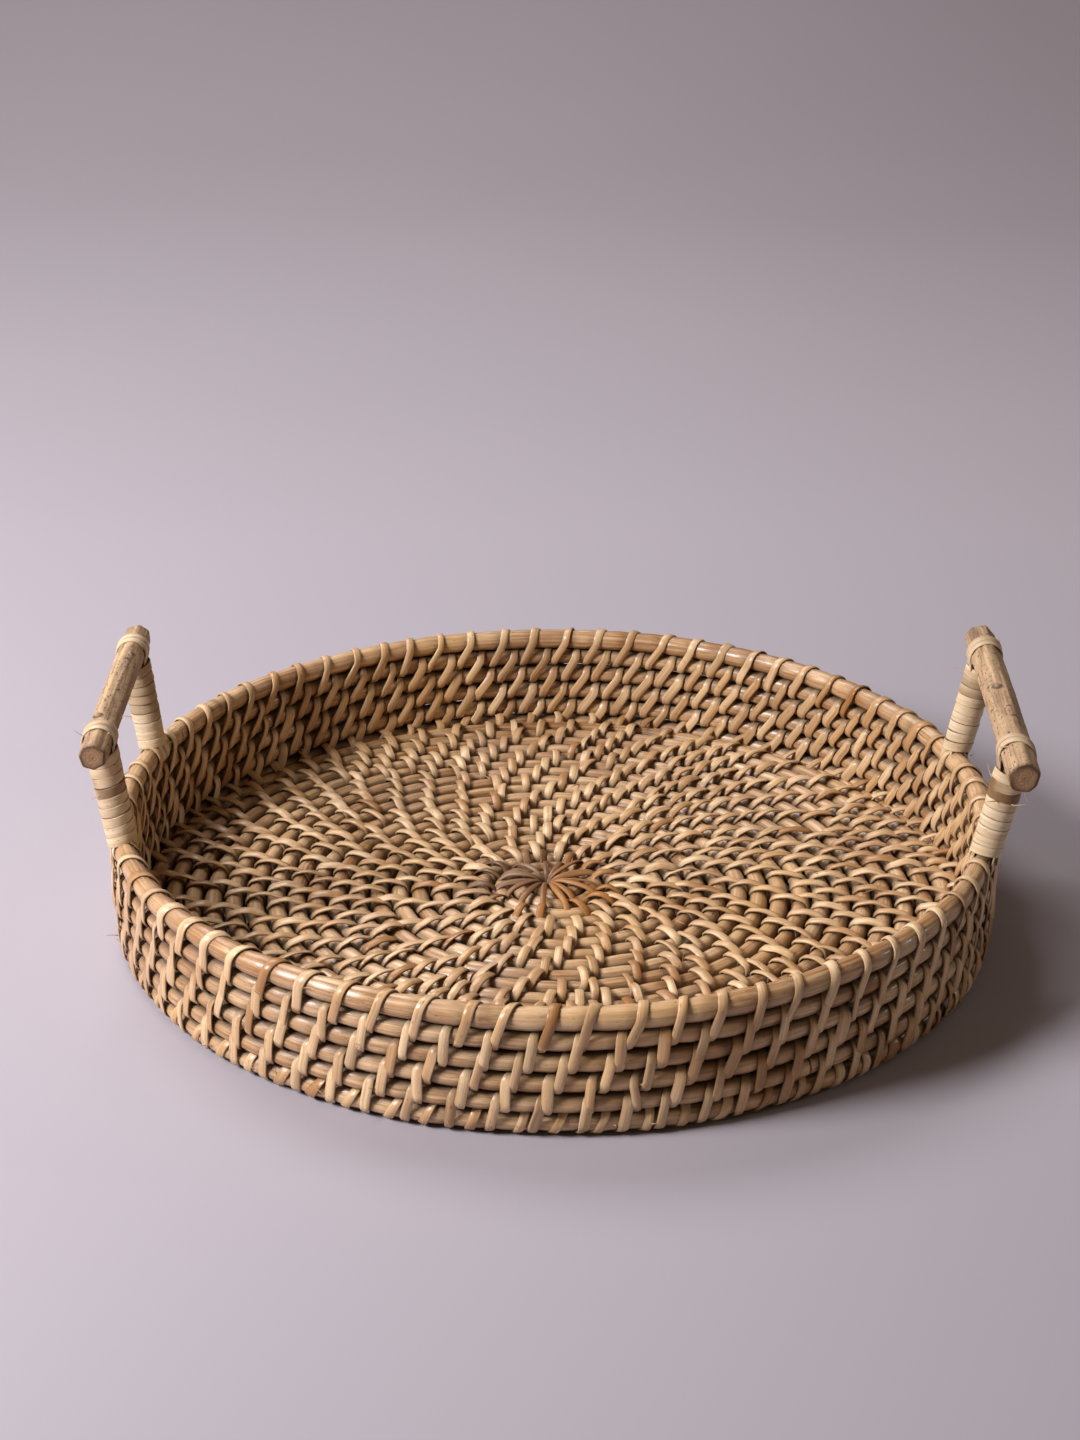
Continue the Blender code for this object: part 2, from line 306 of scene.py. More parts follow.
def round_rod(weave, lane, start, end, random, neighbours, presses, gap_dirt_and_shade=1.0):
    """A cane rod along a lane, with its joints, worn flats and patches. neighbours holds the angles
    round the rod's section at which other rods touch it, where it is darkened: painted shade, with
    some dirt. presses holds (angle round the section, places along the lane) pairs: there strips
    pinch it, and it is darkened beside them: painted shade, with some dirt."""
    length = abs(end - start) * max(lane.radius(np.array([end]))[0], COIL_PITCH)
    angle = np.linspace(start, end, max(int(length / ROD_STEP), 24))
    centres = lane_points(lane, angle)
    along = lengths_along(centres)
    around = even_angles(ROD_SIDES)
    joint_spacing = random.uniform(*JOINT_SPACINGS)
    from_joint = (along + random.uniform(0, joint_spacing)) % joint_spacing - joint_spacing / 2
    near_joint = hump(from_joint, JOINT_REACH)[:, None]
    worn = Wander(random, 0.018, (2, 3, 5))(around)[None, :]
    uneven = Wander(random, 0.014, (3, 7, 11))(along * 60)[:, None]
    pinch = np.zeros((len(angle), ROD_SIDES))
    for at, places in presses:
        facing = np.clip(0.4 + 0.6 * np.cos(around - at), 0, 1)[None, :]
        pressed = closeness(angle, places, lane.radius(angle), PINCH_REACH)[:, None]
        pinch = np.maximum(pinch, pressed * facing)
    uneven_share = 1 + worn + uneven + JOINT_SWELL * near_joint - PINCH * pinch
    outline = round_outline(lane.thickness(angle)[:, None] * uneven_share, around)
    grain = grain_of(along + random.uniform(0, GRAIN_LENGTH), outline)
    facing = np.max([np.cos(around - other) for other in neighbours], axis=0)
    light = (0.5 + Wander(random, 0.2, (1, 2, 5, 9, 14))(along * 9))[:, None]
    # Painted shade, with some dirt: darker where the rod faces its neighbours and where strips pinch it.
    dirt_and_shade = gap_dirt_and_shade * np.maximum(np.clip((facing - 0.45) / 0.42, 0, 1) ** 1.6, PINCH_DIRT_AND_SHADE * pinch)
    tone = tones(light, dirt_and_shade, near_joint * 0.6)
    weave.sweep(centres, outward(angle), np.broadcast_to(UP, centres.shape), outline, grain, tone)


# ---------------------------------------------------------------- stitches


class Section(NamedTuple):
    """A strip's section: places across and up it, as shares of its width and thickness, and how
    dark it is made at each of them: painted shade towards its edges, with some dirt."""

    places: np.ndarray
    dirt_and_shade: np.ndarray


def even_section(half):
    """A section whose left half mirrors the right. half holds (across, up, darkness from painted shade
    and dirt) from the right edge to the middle."""
    mirrored = [(-across, up, dirt_and_shade) for across, up, dirt_and_shade in half[-2::-1]]
    corners = np.array(half + mirrored)
    return Section(corners[:, :2], corners[:, 2])


# The third number of each corner darkens the strip towards its edges: painted shade, with some dirt.
STRIP_SECTION = even_section([(0.5, 0, 0.7), (0.5, 0.55, 0.22), (0.41, 0.86, 0), (0, 1, 0)])
RIBBON_SECTION = even_section(
    [(0.5, 0, 0.9), (0.5, 0.7, 0.7), (0.465, 0.94, 0.12), (0.39, 0.99, 0), (0, 1, 0)]
)


class Style(NamedTuple):
    """How one course is stitched. The strip goes up side A, over the upper rod, down side B and under
    the lower rod. Side A is the wall's outside or the floor's underside."""

    lean_a: float  # how far the strip moves along the rods on side A, as a share of the stitch spacing
    lean_b: float
    haste: float  # how much of its move over a rod the strip makes where it is tucked in, from 0 to 1
    bulge_a: float  # how far the strip stands off the rods halfway between them
    bulge_b: float
    steps_a: int
    steps_end: int
    steps_b: int
    unevenness: float
    width: float
    stained: float  # the share of strips that are stained
    open_top: bool  # whether the strip is in sight, not tucked in, where it goes over the upper rod


WALL_STYLE = Style(0.10, 0.37, 0.85, 0.35 * MM, 0.8 * MM, 7, 8, 8, 0.025, 4.3 * MM, 0.06, False)
RIM_STYLE = Style(0.20, 0.30, 0.15, 0.1 * MM, 0.6 * MM, 7, 10, 8, 0.03, 4.0 * MM, 0.05, True)
BASE_STYLE = Style(0.30, 0.10, 0.30, 0.0, 1.2 * MM, 4, 9, 9, 0.08, 4.0 * MM, 0.25, True)
FLOOR_STYLE = Style(0.46, 0.09, 0.85, 0.0, 1.5 * MM, 4, 8, 9, 0.04, 4.0 * MM, 0.07, False)
WALL_SHIFT = 0.30  # from one course's stitches to those of the course above, as a share of their spacing
FLOOR_SHIFT = -0.35  # and from one turn of the floor to the next turn out
LEAN_WANDER = 0.06  # how much the lean of neighbouring stitches drifts
CROWN_ARCH = 0.45  # how much of its bulge a strip keeps over a rod's crown
PRESS = 0.06 * MM  # how far a strip is pressed into its rods
TUCK = 0.3 * MM  # and how much further where it is tucked in between two rods
TUCK_NARROWING = 0.3
SPRINGS = (0.65, 1.45)  # the least and the most that a stitch stands off, as a share of its bulge


def strip_sweep(weave, centres, normals, widths, thickness, roll, tone, random, section=STRIP_SECTION):
    """Sweeps a strip's section along centres, flat against the side that faces away from normals."""
    tangents = unit(np.gradient(centres, axis=0))
    across = unit(np.cross(tangents, normals))
    lifted = np.cross(across, tangents)
    turn = roll[:, None]
    side = across * np.cos(turn) + lifted * np.sin(turn)
    up = lifted * np.cos(turn) - across * np.sin(turn)
    outline = section.places * np.stack([widths, np.full_like(widths, thickness)], -1)[:, None]
    grain = grain_of(lengths_along(centres) + random.uniform(0, GRAIN_LENGTH), outline)
    full_tone = np.broadcast_to(tone[:, None], grain.shape).copy()
    # The strip is darker towards its edges: painted shade, with some dirt.
    full_tone[..., 1] = np.maximum(full_tone[..., 1], section.dirt_and_shade)
    weave.sweep(centres, side, up, outline, grain, full_tone)


def press_places(marks, style, on_upper):
    """Where the strips of a course cross the crown of its upper or lower rod, on side A and side B."""
    spans = np.append(np.diff(marks), marks[-1] - marks[-2])
    sign = 1 if on_upper else -1
    return marks + sign * style.lean_a / 2 * spans, marks + (0.5 - sign * style.lean_b / 2) * spans


def strip_tones(count, steps, depth, random, stained_share):
    """Each stitch's own lightness and stain, repeated along its steps."""
    light = 0.5 + Wander(random, 0.16, (1, 3, 7))(np.arange(count) / 12) + random.normal(0, 0.15, count)
    is_stained = random.random(count) < stained_share
    stained = np.where(is_stained, random.uniform(0.35, 0.9, count), random.uniform(0, 0.14, count))
    return tones(np.repeat(light, steps), depth, np.repeat(stained, steps))


UP_SIDE_A, OVER_TOP, DOWN_SIDE_B, UNDER_BOTTOM = range(4)


def stitch_steps(marks, style, random):
    """Three arrays over the steps of a course's strip: its angle, which part of a stitch it is in, and
    the share of that part that lies behind it."""
    count = len(marks) - 1
    spans = np.diff(marks)
    ends = (1 - style.lean_a - style.lean_b) / 2
    starts = marks[:-1] - style.lean_a / 2 * spans
    leans = np.array([0, style.lean_a, style.lean_a + ends, style.lean_a + ends + style.lean_b])
    keys = leans + random.normal(0, style.unevenness, (count, 4))
    keys[:, 1] += Wander(random, LEAN_WANDER, (1, 2, 5))(marks[:-1])
    finish = marks[-1] - style.lean_a / 2 * spans[-1]
    angles_at_keys = np.append((starts[:, None] + keys * spans[:, None]).ravel(), finish)

    steps = (style.steps_a, style.steps_end, style.steps_b, style.steps_end)
    share = np.concatenate([np.arange(n) / n for n in steps])
    part = np.repeat([UP_SIDE_A, OVER_TOP, DOWN_SIDE_B, UNDER_BOTTOM], steps)
    hurried = share - style.haste * np.sin(math.tau * share) / math.tau
    advance = np.where((part == OVER_TOP) | (part == UNDER_BOTTOM), hurried, share)
    places = (np.arange(count)[:, None] * 4 + part + advance).ravel()
    angle = np.interp(places, np.arange(len(angles_at_keys)), angles_at_keys)
    angle[1:-1] = (angle[:-2] + 2 * angle[1:-1] + angle[2:]) / 4
    return angle, np.tile(part, count), np.tile(share, count)


def stitch_course(weave, lower, upper, marks, style, random):
    """Winds one strip round two neighbouring rods, once for each gap between marks (angles)."""
    angle, part, share = stitch_steps(marks, style, random)
    count = len(marks) - 1
    per_stitch = len(angle) // count

    low = np.stack([lower.radius(angle), lower.height(angle)], -1)
    high = np.stack([upper.radius(angle), upper.height(angle)], -1)
    rise = unit(high - low)
    out = np.stack([rise[:, 1], -rise[:, 0]], -1)
    over, under = part == OVER_TOP, part == UNDER_BOTTOM
    turn = np.select([over, under], [math.pi / 2 - math.pi * share, -math.pi / 2 - math.pi * share], 0)
    round_end = rise * np.cos(turn)[:, None] + out * np.sin(turn)[:, None]
    face = np.where(part == UP_SIDE_A, 1, -1)[:, None]
    at_end = over | under
    normal = np.where(at_end[:, None], round_end, out * face)
    up_share = np.select([part == UP_SIDE_A, over, part == DOWN_SIDE_B], [share, 1.0, 1 - share], 0.0)
    tucked = under if style.open_top else at_end
    tuck = np.where(tucked, np.cos(turn) ** 2, 0.0)

    # The strip arches: most in the middle of a run, and still a little over the rods' crowns.
    on_b = (part == DOWN_SIDE_B) | (at_end & (np.sin(turn) < 0))
    between = CROWN_ARCH + (1 - CROWN_ARCH) * np.sin(math.pi * share)
    arch = np.where(at_end, CROWN_ARCH * np.abs(np.sin(turn)) ** 1.5, between)
    spring = np.repeat(random.uniform(*SPRINGS, count), per_stitch)
    bulges = np.where(on_b, style.bulge_b, style.bulge_a) * arch * spring
    rods = lower.thickness(angle) * (1 - up_share) + upper.thickness(angle) * up_share
    reach = rods - PRESS + bulges - TUCK * tuck
    flat = low * (1 - up_share)[:, None] + high * up_share[:, None] + normal * reach[:, None]

    radial = outward(angle)
    centres = flat[:, :1] * radial + flat[:, 1:] * UP
    normals = normal[:, :1] * radial + normal[:, 1:] * UP
    own_width = np.repeat(random.normal(1, 0.08, count), per_stitch)
    widths = style.width * own_width * (1 - TUCK_NARROWING * tuck)
    roll = np.repeat(random.normal(0, math.radians(8), count), per_stitch) * (1 - tuck)
    # The strip is darkened where it is tucked in between the rods: painted shade.
    tone = strip_tones(count, per_stitch, tuck, random, style.stained)
    strip_sweep(weave, centres, normals, widths, STRIP_THICKNESS, roll, tone, random)


# The floor's stitches are close together near the centre: (distance from it, spacing) pairs.
FLOOR_SPACINGS = np.array([(25, 10), (45, 14), (80, 17.7)]) * MM


def floor_spacing(angle):
    """From one of the floor's stitches to the next, as an angle, at an angle along the spiral."""
    radius = angle / math.tau * COIL_PITCH
    return np.interp(radius, *FLOOR_SPACINGS.T) / radius


def floor_marks():
    """The angles of the floor's stitches along the spiral. Each one stands beside a stitch of the turn
    before, and a further one is added wherever the gap has grown too wide."""
    random = random_for("floor marks")
    first = (STAR_RADIUS + COIL_PITCH) / COIL_PITCH * math.tau
    last = (LAST_TURN + 0.45) * math.tau
    narrowest, widest = 0.55, 1.5  # gaps, as shares of the spacing
    marks = [first]
    while marks[-1] < first + math.tau:
        marks.append(marks[-1] + floor_spacing(marks[-1]))
    before = 0
    while marks[-1] < last:
        spacing = floor_spacing(marks[-1])
        wanted = marks[before] + math.tau + (FLOOR_SHIFT + random.normal(0, 0.10)) * spacing
        before += 1
        if wanted - marks[-1] < narrowest * spacing:
            continue
        if wanted - marks[-1] > widest * spacing:
            marks.append((wanted + marks[-1]) / 2)
        marks.append(wanted)
    return np.array(marks)


# ---------------------------------------------------------------- materials


def linear(hex_colour):
    """A Blender colour from a hex one."""
    values = [int(hex_colour[i : i + 2], 16) / 255 for i in (0, 2, 4)]
    return (*[v / 12.92 if v <= 0.04045 else ((v + 0.055) / 1.055) ** 2.4 for v in values], 1)


class Graph:
    """A material, with short names for the shader nodes that the materials share."""

    def __init__(self, name):
        self.material = bpy.data.materials.new(name)
        self.material.use_nodes = True
        self.tree = self.material.node_tree
        self.shader = self.tree.nodes["Principled BSDF"]

    def node(self, kind, inputs=(), **settings):
        made = self.tree.nodes.new(kind)
        for key, value in settings.items():
            setattr(made, key, value)
        for key, value in dict(inputs).items():
            self.feed(made.inputs[key], value)
        return made

    def feed(self, socket, value):
        if isinstance(value, bpy.types.NodeSocket):
            self.tree.links.new(value, socket)
        else:
            socket.default_value = value

    def finish(self, **inputs):
        """Feeds the shader's inputs, whose names have _ for a space, and returns the material."""
        for name, value in inputs.items():
            self.feed(self.shader.inputs[name.replace("_", " ")], value)
        return self.material

    def attribute(self, name):
        return self.node("ShaderNodeAttribute", attribute_name=name).outputs["Vector"]

    def place(self):
        return self.node("ShaderNodeTexCoord").outputs["Object"]

    def parts(self, vector):
        return self.node("ShaderNodeSeparateXYZ", {0: vector}).outputs

    def math(self, operation, first, second=0.0):
        return self.node("ShaderNodeMath", {0: first, 1: second}, operation=operation).outputs[0]

    def add(self, first, second):
        return self.math("ADD", first, second)

    def times(self, first, second):
        return self.math("MULTIPLY", first, second)

    def noise(self, vector, stretch=None, scale=1.0, detail=3.0, roughness=0.55):
        if stretch:
            stretched = self.node("ShaderNodeVectorMath", {0: vector, 1: stretch}, operation="MULTIPLY")
            vector = stretched.outputs[0]
        inputs = {"Vector": vector, "Scale": scale, "Detail": detail, "Roughness": roughness}
        return self.node("ShaderNodeTexNoise", inputs).outputs["Fac"]

    def remap(self, value, low, high, to_low=0.0, to_high=1.0):
        inputs = {"Value": value, "From Min": low, "From Max": high, "To Min": to_low, "To Max": to_high}
        return self.node("ShaderNodeMapRange", inputs).outputs[0]

    def mix(self, share, first, second):
        """Mixes two colours; the second may be a hex one."""
        if isinstance(second, str):
            second = linear(second)
        made = self.node("ShaderNodeMix", data_type="RGBA")
        for socket, value in (("Factor", share), ("A", first), ("B", second)):
            self.feed(made.inputs[socket], value)
        return made.outputs["Result"]

    def vary(self, value, *patterns):
        """Adds each (pattern, low, high, amount) to value, from -amount at low to amount at high."""
        for pattern, low, high, amount in patterns:
            value = self.add(value, self.remap(pattern, low, high, -amount, amount))
        return value

    def layer(self, colour, *layers):
        """Lays (pattern, from, full, share, tint) layers over colour: none of the tint where the pattern
        is at from, and that share of it at full."""
        for pattern, start, full, share, tint in layers:
            colour = self.mix(self.remap(pattern, start, full, 0, share), colour, tint)
        return colour

    def bump(self, height, strength, distance):
        inputs = {"Height": height, "Strength": strength, "Distance": distance}
        return self.node("ShaderNodeBump", inputs).outputs["Normal"]


class CaneLook(NamedTuple):
    """One kind of cane: its light, dark, patch and stain colours, how rough its varnish is, how strong
    its patches are and how thick its varnish is."""

    light: str
    dark: str
    patch: str
    stain: str
    roughness: float
    patches: float
    coat: float


def cane(name, look):
    """Varnished cane: fibres along the grain, cloudy patches, stains, and dirt and painted shade deep in the
    gaps.
    """
    graph = Graph(name)
    grain = graph.attribute("grain")
    lightness, depth, stained = graph.parts(graph.attribute("tone"))
    fibres = graph.noise(grain, (60, 2600, 2600), detail=4)
    streaks = graph.noise(grain, (14, 700, 700), detail=2)
    clouds = graph.noise(grain, (32, 110, 110), detail=3)
    flecks = graph.noise(grain, (420, 1500, 1500), detail=2, roughness=0.4)
    place = graph.place()
    weathering = graph.noise(place, scale=15, detail=3)
    rust = graph.noise(place, (1.0, 1.3, 1.0), scale=23, detail=4)

    value = graph.vary(
        lightness, (fibres, 0.3, 0.7, 0.28), (streaks, 0.3, 0.7, 0.4), (weathering, 0.35, 0.65, 0.25)
    )
    colour = graph.layer(
        graph.mix(value, linear(look.dark), look.light),
        (weathering, 0.52, 0.68, 0.4, "cd9a58"),  # golden
        (weathering, 0.47, 0.33, 0.4, "c6ab90"),  # bleached
        (rust, 0.57, 0.7, 0.5, "96602f"),
        (fibres, 0.6, 0.72, 0.45, look.stain),
        (clouds, 0.5, 0.72, look.patches, look.patch),
    )
    colour = graph.mix(graph.times(stained, 0.9), colour, look.stain)
    colour = graph.layer(colour, (flecks, 0.68, 0.76, 0.65, "4a2f18"))
    # Darkened towards near black deep in the gaps: painted shade, with some dirt.
    colour = graph.mix(graph.times(depth, 0.9), colour, "1e0f06")
    rough = graph.remap(streaks, 0.3, 0.7, look.roughness - 0.1, look.roughness + 0.14)
    varnish = graph.remap(clouds, 0.35, 0.6, look.coat, look.coat * 0.3)
    return graph.finish(
        Base_Color=colour,
        Roughness=graph.add(rough, graph.times(depth, 0.35)),
        Specular_IOR_Level=0.45,
        Coat_Weight=graph.times(varnish, graph.math("SUBTRACT", 1, depth)),
        Coat_Roughness=0.2,
        Normal=graph.bump(graph.add(graph.times(fibres, 0.6), streaks), 0.6, 0.28 * MM),
    )


RING_FREQUENCY = 4200  # radians a metre, which is a ring every 1.5 mm


def growth_rings(graph, grain):
    """The colour of a sawn end: wobbly rings round the pith, with pores."""
    _, sideways, upwards = graph.parts(grain)
    from_pith = graph.node("ShaderNodeCombineXYZ", {"X": sideways, "Y": upwards}).outputs[0]
    distance = graph.node("ShaderNodeVectorMath", {0: from_pith}, operation="LENGTH").outputs["Value"]
    wobble = graph.times(graph.noise(grain, (0, 260, 260)), 3.5 * MM)
    rings = graph.math("SINE", graph.times(graph.add(distance, wobble), RING_FREQUENCY))
    pores = graph.noise(grain, (0, 2600, 2600), detail=2)
    return graph.layer(linear("a88460"), (rings, -1, 1, 0.42, "74543a"), (pores, 0.5, 0.68, 0.6, "5a4029"))


def peeled_wood(name):
    """The bars' wood: dull, streaked and speckled, with growth rings on the sawn ends."""
    graph = Graph(name)
    grain = graph.attribute("grain")
    lightness, dark, sawn = graph.parts(graph.attribute("tone"))
    streaks = graph.noise(grain, (45, 900, 900), detail=4)
    clouds = graph.noise(grain, (45, 120, 120), detail=3)
    specks = graph.noise(grain, (520, 900, 900), detail=1)
    value = graph.vary(lightness, (streaks, 0.3, 0.7, 0.45), (clouds, 0.35, 0.65, 0.3))
    colour = graph.layer(
        graph.mix(value, linear("8a6c52"), "cfae86"),
        (clouds, 0.53, 0.72, 0.5, "78604c"),
        (specks, 0.64, 0.69, 0.85, "3f2a17"),
    )
    colour = graph.mix(sawn, colour, growth_rings(graph, grain))
    relief = graph.math("SUBTRACT", graph.add(streaks, graph.times(clouds, 0.5)), dark)
    return graph.finish(
        Base_Color=graph.mix(graph.times(dark, 0.88), colour, "3a2413"),
        Roughness=graph.remap(streaks, 0.3, 0.7, 0.52, 0.78),
        Normal=graph.bump(relief, 0.7, 0.35 * MM),
    )


CANE_LOOKS = {
    "rod_cane": CaneLook("e6c49a", "a07142", "8d5a2c", "55341a", roughness=0.38, patches=0.5, coat=0.7),
    "stitch_cane": CaneLook("eed0a6", "be9262", "a67647", "97622d", roughness=0.38, patches=0.3, coat=0.5),
    "star_cane": CaneLook("8f6541", "54341d", "3b2212", "b4793a", roughness=0.46, patches=0.35, coat=0.3),
    "binding_cane": CaneLook("f3dfc0", "d3b78e", "bb9766", "6b420c", roughness=0.45, patches=0.3, coat=0.15),
}
MATERIALS = {slot: cane(slot, look) for slot, look in CANE_LOOKS.items()}
MATERIALS["bar_wood"] = peeled_wood("bar_wood")


# ---------------------------------------------------------------- the floor and the wall

# How dark the floor's rods are made between turns: painted shade, with some dirt.
FLOOR_GAP_DIRT_AND_SHADE = 0.6
FIRST_TURN = 0.45
TAIL_TURNS = 0.8  # how far the floor's rod runs past its last full turn
END_GAP = 1 * MM  # between two rods end to end
SECTION_UP, SECTION_DOWN = math.pi / 2, -math.pi / 2
SECTION_OUT, SECTION_IN = 0, math.pi


def group_limits():
    """The turns at which the floor's rod is spliced, from its stitching groups' outer edges."""
    return [extent(node).y / 2 / COIL_PITCH for node in FLOOR_GROUPS[:-1]]


def build_floor_rods():
    lane = SpiralLane()
    marks = floor_marks()
    under_own, over_own = press_places(marks, FLOOR_STYLE, on_upper=True)
    under_next, over_next = press_places(marks, FLOOR_STYLE, on_upper=False)
    presses = [
        (SECTION_DOWN, np.concatenate([under_own, under_next - math.tau])),
        (SECTION_UP, np.concatenate([over_own, over_next - math.tau])),
    ]
    neighbours = (SECTION_OUT, SECTION_IN)
    limits = [FIRST_TURN, *group_limits(), LAST_TURN + TAIL_TURNS]
    for index, (start, end) in enumerate(zip(limits, limits[1:]), 1):
        name = f"floor_rod_{index}"
        weave = Weave()
        start, end = start * math.tau + END_GAP / (start * COIL_PITCH), end * math.tau
        round_rod(weave, lane, start, end, random_for(name), neighbours, presses, FLOOR_GAP_DIRT_AND_SHADE)
        weave.make(f"floor_cane_{index}", "rod_cane", [name])


def build_floor_stitches():
    marks = floor_marks()
    own, inner = SpiralLane(), SpiralLane(turns_back=1)
    limits = [0, *(turn * math.tau for turn in group_limits()), math.inf]
    for node, start, end in zip(FLOOR_GROUPS, limits, limits[1:]):
        chosen = np.flatnonzero((marks >= start) & (marks < end))
        group = marks[chosen[0] : chosen[-1] + 2]
        weave = Weave()
        stitch_course(weave, inner, own, group, FLOOR_STYLE, random_for(node))
        weave.make(node.replace("stitching", "stitches"), "stitch_cane", [node])


def ring_marks(name, offset):
    """Evenly spaced angles all the way round, each moved a little."""
    spacing = math.tau / WALL_STITCHES
    places = np.arange(WALL_STITCHES + 1)
    marks = (places + offset) * spacing + random_for(name).normal(0, 0.045, len(places)) * spacing
    marks[-1] = marks[0] + math.tau
    return marks


class Course(NamedTuple):
    """One course of the wall: the stitches that join a rod of WALL_STACK to the one below it."""

    name: str
    nodes: list
    style: Style
    marks: np.ndarray


def wall_courses():
    courses = [Course("base_stitches", ["base_stitching"], BASE_STYLE, ring_marks("base", 0.5))]
    for index in range(1, len(WALL_STACK) - 1):
        marks = ring_marks(f"wall {index}", index * WALL_SHIFT)
        courses.append(Course(f"wall_stitches_{index}", [f"wall_stitching_{index}"], WALL_STYLE, marks))
    rim_nodes = [f"rim_stitching_{side}" for side in ("front", "right", "back", "left")]
    rim_marks = ring_marks("rim", (len(WALL_STACK) - 1) * WALL_SHIFT)
    courses.append(Course("rim_stitches", rim_nodes, RIM_STYLE, rim_marks))
    return courses


def wall_presses(courses, index):
    """Where strips pinch a rod of WALL_STACK, for round_rod: those that join it to the rod below, and
    those that join the rod above to it."""
    pinching = [(courses[index], True)] if index else []
    pinching += [(course, False) for course in courses[index + 1 : index + 2]]
    found = [press_places(course.marks, course.style, on_upper) for course, on_upper in pinching]
    presses = []
    for at, places in zip((SECTION_OUT, SECTION_IN), zip(*found)):
        places = np.concatenate(places)
        # A rod may start anywhere, so the places are repeated a turn before and a turn after.
        presses.append((at, np.concatenate([places - math.tau, places, places + math.tau])))
    return presses


def build_wall():
    """The wall's rods and the courses of stitches that join them."""
    courses = wall_courses()
    lanes = wall_lanes()
    below = Lane("floor edge", FLOOR_RADIUS, FLOOR_Z, FLOOR_ROD, LEVEL_LIFT)
    half_gap = END_GAP / 2 / WALL_RADIUS
    for index, (node, lane, course) in enumerate(zip(WALL_STACK, lanes, courses)):
        random = random_for(node)
        joint = random.uniform(0, math.tau)
        neighbours = [SECTION_DOWN] if node == "rim_rod" else [SECTION_DOWN, SECTION_UP]
        start, end = joint + half_gap, joint + math.tau - half_gap
        rod = Weave()
        round_rod(rod, lane, start, end, random, neighbours, wall_presses(courses, index))
        rod.make(node.replace("rod", "cane"), "rod_cane", [node])

        strips = Weave()
        stitch_course(strips, below, lane, course.marks, course.style, random_for(course.name))
        strips.make(course.name, "stitch_cane", course.nodes)
        below = lane


# ---------------------------------------------------------------- the centre star

ORANGE_HEADING = math.radians(-30)
STAR_CENTRE = np.array([-3.5 * MM, 0.5 * MM, 0.0])  # the strips meet a little beside the tray's centre
STAR_ARMS, SHORT_STRIPS = 15, 14
TUCKED_Z = FLOOR_Z - 2 * MM  # where a star strip's ends are hidden between the rods
CROWN_Z = FLOOR_Z + FLOOR_ROD


def rounded(points, rounds=3):
    """Cuts the corners of a run of points, again and again, until it is smooth."""
    points = np.asarray(points, float)
    for _ in range(rounds):
        near, far = points[:-1], points[1:]
        cut = np.stack([near * 0.75 + far * 0.25, near * 0.25 + far * 0.75], 1).reshape(-1, points.shape[1])
        points = np.concatenate([points[:1], cut, points[-1:]])
    return points


def star_strip(weave, heading, start, reach, top, width, stained, random):
    """One dark strip from start to reach along a heading, arched over the rods and tucked in at both
    ends. It drifts sideways a little."""
    profile = rounded(
        [
            (start, TUCKED_Z),
            (start + 0.6 * MM, CROWN_Z - 1 * MM),
            (start + 4 * MM, CROWN_Z + 0.75 * top),
            (start + 0.5 * (reach - start), CROWN_Z + top),
            (reach - 4.5 * MM, CROWN_Z + 0.7 * top),
            (reach - 0.5 * MM, CROWN_Z - 1 * MM),
            (reach + 0.4 * MM, TUCKED_Z),
        ]
    )
    share = np.linspace(0, 1, len(profile))
    turn = heading + random.normal(0, 0.10) * share**2
    centres = STAR_CENTRE + profile[:, :1] * outward(turn) + profile[:, 1:] * UP
    slope = unit(np.gradient(profile, axis=0))
    normals = -slope[:, 1:] * outward(turn) + slope[:, :1] * UP
    widths = width * np.interp(profile[:, 0], [0, 3 * MM, 12 * MM, 24 * MM], [0.35, 0.45, 1.0, 0.9])
    roll = np.full(len(profile), random.normal(0, math.radians(13)))
    # Darker near the centre and at the tip, where the strip dips in between the rods: painted shade.
    at_centre = np.interp(profile[:, 0], [0, 6 * MM], [0.9, 0.05])
    at_tip = np.interp(share, [0.86, 1.0], [0, 0.9])
    tone = tones(random.normal(0.5, 0.22), np.maximum(at_centre, at_tip), stained)
    strip_sweep(weave, centres, normals, widths, STRIP_THICKNESS, roll, tone, random)


def underside_strip(weave, heading, random):
    """A strip below the spiral's start, lying just clear of the table."""
    radii = np.linspace(1.5 * MM, STAR_RADIUS - 2 * MM, 12)
    turn = heading + random.normal(0, 0.06) * radii / STAR_RADIUS
    height = 1.25 * MM + np.interp(radii, [1.5 * MM, 5 * MM, 22 * MM, 25 * MM], [1.5, 0, 0, 3.0]) * MM
    centres = radii[:, None] * outward(turn) + height[:, None] * UP
    widths = 4 * MM * np.interp(radii, [1.5 * MM, 10 * MM], [0.3, 1.0])
    tone = tones(random.normal(0.5, 0.2), np.full(len(radii), 0.15), 0.2)
    normals = np.broadcast_to(-UP, centres.shape)
    strip_sweep(weave, centres, normals, widths, 0.8 * MM, np.zeros(len(radii)), tone, random)


def orange_share(middle_share, amount, towards, random):
    """How orange a star strip is; towards is 1 for one that points to ORANGE_HEADING and -1 opposite."""
    return float(np.clip(middle_share + amount * towards + random.normal(0, 0.2), 0, 1))


